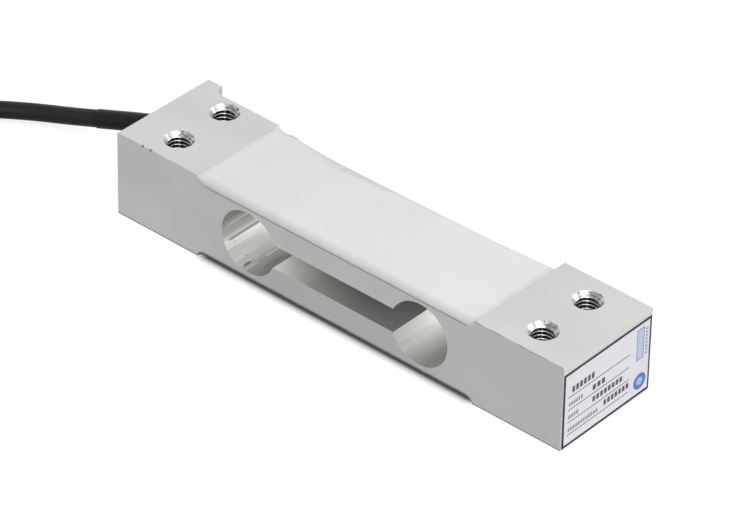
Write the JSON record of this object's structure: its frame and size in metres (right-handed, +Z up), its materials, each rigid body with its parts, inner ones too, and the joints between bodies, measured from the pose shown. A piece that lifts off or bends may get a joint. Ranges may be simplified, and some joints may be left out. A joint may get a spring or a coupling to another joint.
{
  "type": "single point load cell",
  "caption": "Milled aluminium bending beam with a binocular cut-out, tapped end pads, coated strain gauges on its thin walls and a screened cable with bare core ends.",
  "frame": {"origin": "on the ground under the middle of the beam, without its cable", "axes": "+X along the beam to the load end with the label, +Y to the milled rear face, +Z up"},
  "size_m": [0.2735, 0.0427, 0.022],
  "materials": {
    "milled_aluminium": "fine milled, clear anodised",
    "white_silicone": "soft satin, slightly wavy",
    "gauge_backing": "amber film",
    "gauge_foil": "etched foil",
    "solder": "bright, rounded",
    "enamelled_wire": "enamel over copper",
    "board_laminate": "glass fibre laminate with solder mask",
    "resistor_body": "glazed ceramic",
    "black_jacket": "satin extruded",
    "shrink_sleeve": "satin, shrunk",
    "sealant": "satin",
    "tie_strap": "moulded nylon",
    "core_red": "extruded insulation",
    "core_green": "extruded insulation",
    "core_white": "extruded insulation",
    "core_black": "extruded insulation",
    "tinned_copper": "tinned strands",
    "label_film": "printed film"
  },
  "bodies": {
    "root": {"board_core_solder": "solder", "board_wire_solder": "solder", "bottom_coating": "white_silicone", "cable_hank": "black_jacket", "cable_jacket": "black_jacket", "cable_seal": "sealant", "cable_sleeve": "shrink_sleeve", "core_tip_black": "tinned_copper", "core_tip_green": "tinned_copper", "core_tip_red": "tinned_copper", "core_tip_white": "tinned_copper", "drain_wire": "tinned_copper", "end_label": "label_film", "gauge_film_bottom_fixed": "gauge_backing", "gauge_film_bottom_load": "gauge_backing", "gauge_film_top_fixed": "gauge_backing", "gauge_film_top_load": "gauge_backing", "gauge_grid_bottom_fixed": "gauge_foil", "gauge_grid_bottom_load": "gauge_foil", "gauge_grid_top_fixed": "gauge_foil", "gauge_grid_top_load": "gauge_foil", "gauge_solder_bottom_fixed": "solder", "gauge_solder_bottom_load": "solder", "gauge_solder_top_fixed": "solder", "gauge_solder_top_load": "solder", "gauge_wires_bottom_fixed": "enamelled_wire", "gauge_wires_bottom_load": "enamelled_wire", "gauge_wires_top_fixed": "enamelled_wire", "gauge_wires_top_load": "enamelled_wire", "hank_tie_front": "tie_strap", "hank_tie_rear": "tie_strap", "inner_core_black": "core_black", "inner_core_green": "core_green", "inner_core_red": "core_red", "inner_core_white": "core_white", "load_cell_body": "milled_aluminium", "outer_core_black": "core_black", "outer_core_green": "core_green", "outer_core_red": "core_red", "outer_core_white": "core_white", "side_coating": "white_silicone", "span_trim_resistor": "resistor_body", "terminal_board": "board_laminate", "top_coating": "white_silicone", "zero_trim_resistor": "resistor_body"}
  },
  "joints": []
}
